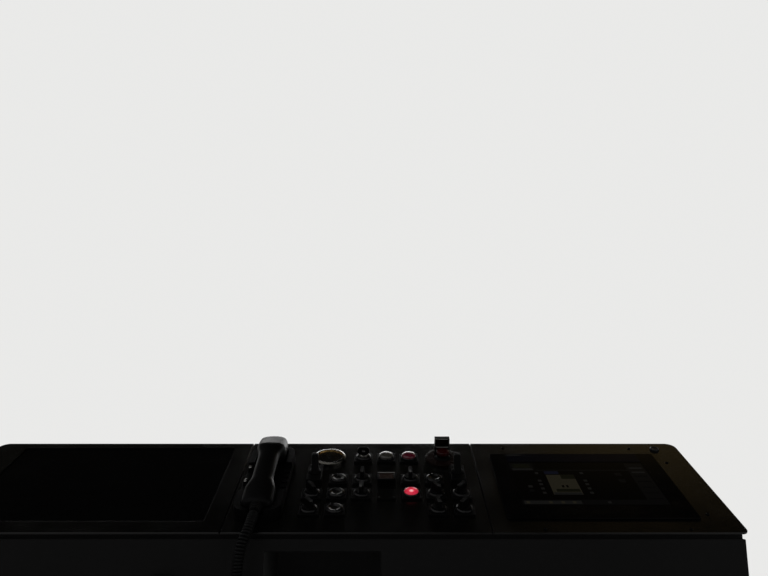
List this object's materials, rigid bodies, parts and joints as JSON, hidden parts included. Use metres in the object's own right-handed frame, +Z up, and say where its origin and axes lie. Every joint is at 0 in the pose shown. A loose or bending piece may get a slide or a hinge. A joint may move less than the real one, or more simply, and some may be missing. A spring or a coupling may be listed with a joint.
{
  "type": "driver's control desk of a funicular car",
  "caption": "Floor-standing sheet steel control desk with a sloping top, monitor, touch panel, switches, levers, gauge, cradled handset on a curly cord, and service doors.",
  "frame": {"origin": "centre of the foot on the floor, under the middle of the desk without its cord", "axes": "+X to the driver's right, +Y away from the driver, +Z up"},
  "size_m": [1.4, 0.4336, 1.0036],
  "materials": {
    "cabinet_paint": "fine textured powder coat, satin",
    "top_paint": "fine textured powder coat, satin",
    "dark_steel": "matt black paint",
    "bright_steel": "plated steel",
    "black_plastic": "moulded black plastic",
    "inner_plastic": "plain dark plastic",
    "cord_rubber": "black rubber",
    "screen_glass": "black glass",
    "gauge_glass": "clear glass",
    "white_lens": "gloss white",
    "red_lens": "gloss red",
    "dark_red": "dark red",
    "lit_red": "lit red lens"
  },
  "bodies": {
    "desk": {"apron": "cabinet_paint", "back_panel": "cabinet_paint", "bezel_rings": "black_plastic", "black_caps": "black_plastic", "blank_plate": "black_plastic", "contact_blocks": "inner_plastic", "cord_gland": "black_plastic", "door_frame": "cabinet_paint", "electronics_block": "inner_plastic", "emergency_button": "red_lens", "emergency_collar": "dark_red", "emergency_guard": "black_plastic", "floor_pan": "cabinet_paint", "front_rail": "dark_steel", "gauge_bezel": "bright_steel", "gauge_glass": "gauge_glass", "gauge_pointer": "white_lens", "handset_cord": "cord_rubber", "handset_cradle": "black_plastic", "hinges": "bright_steel", "indicator_block": "black_plastic", "indicator_window": "dark_red", "key": "black_plastic", "key_barrel": "bright_steel", "lever_bases": "black_plastic", "levers": "black_plastic", "lit_button": "lit_red", "monitor_housing": "inner_plastic", "monitor_screen": "screen_glass", "panel_lock": "bright_steel", "partition_left": "cabinet_paint", "partition_right": "cabinet_paint", "plinth": "cabinet_paint", "pocket_liner": "dark_steel", "rear_ledge": "cabinet_paint", "red_button": "red_lens", "selector_knobs": "black_plastic", "side_left": "cabinet_paint", "side_right": "cabinet_paint", "switch_bases": "black_plastic", "top_centre": "top_paint", "top_left": "top_paint", "top_right": "top_paint", "touch_frame": "black_plastic", "touch_screen": "screen_glass", "white_button": "white_lens"},
    "door_left_leaf": {"door_left": "cabinet_paint", "lock_left": "bright_steel"},
    "door_centre_leaf": {"door_centre": "cabinet_paint", "lock_centre": "bright_steel"},
    "door_right_leaf": {"door_right": "cabinet_paint", "lock_right": "bright_steel"},
    "handset_body": {"handset": "black_plastic", "cord_boot": "cord_rubber"}
  },
  "joints": [
    {"name": "door_left_hinge", "type": "hinge", "parent": "desk", "child": "door_left_leaf", "pos_m": [-0.6565, -0.0856, 0.3375], "axis": [0, 0, -1], "range_deg": [0, 110]},
    {"name": "door_centre_hinge", "type": "hinge", "parent": "desk", "child": "door_centre_leaf", "pos_m": [-0.1515, -0.0856, 0.3375], "axis": [0, 0, -1], "range_deg": [0, 90]},
    {"name": "door_right_hinge", "type": "hinge", "parent": "desk", "child": "door_right_leaf", "pos_m": [0.6565, -0.0856, 0.3375], "axis": [0, 0, 1], "range_deg": [0, 110]},
    {"name": "handset_lift", "type": "slide", "parent": "desk", "child": "handset_body", "axis": [0, -0.4226, 0.9063], "range_m": [0, 0.08]}
  ]
}
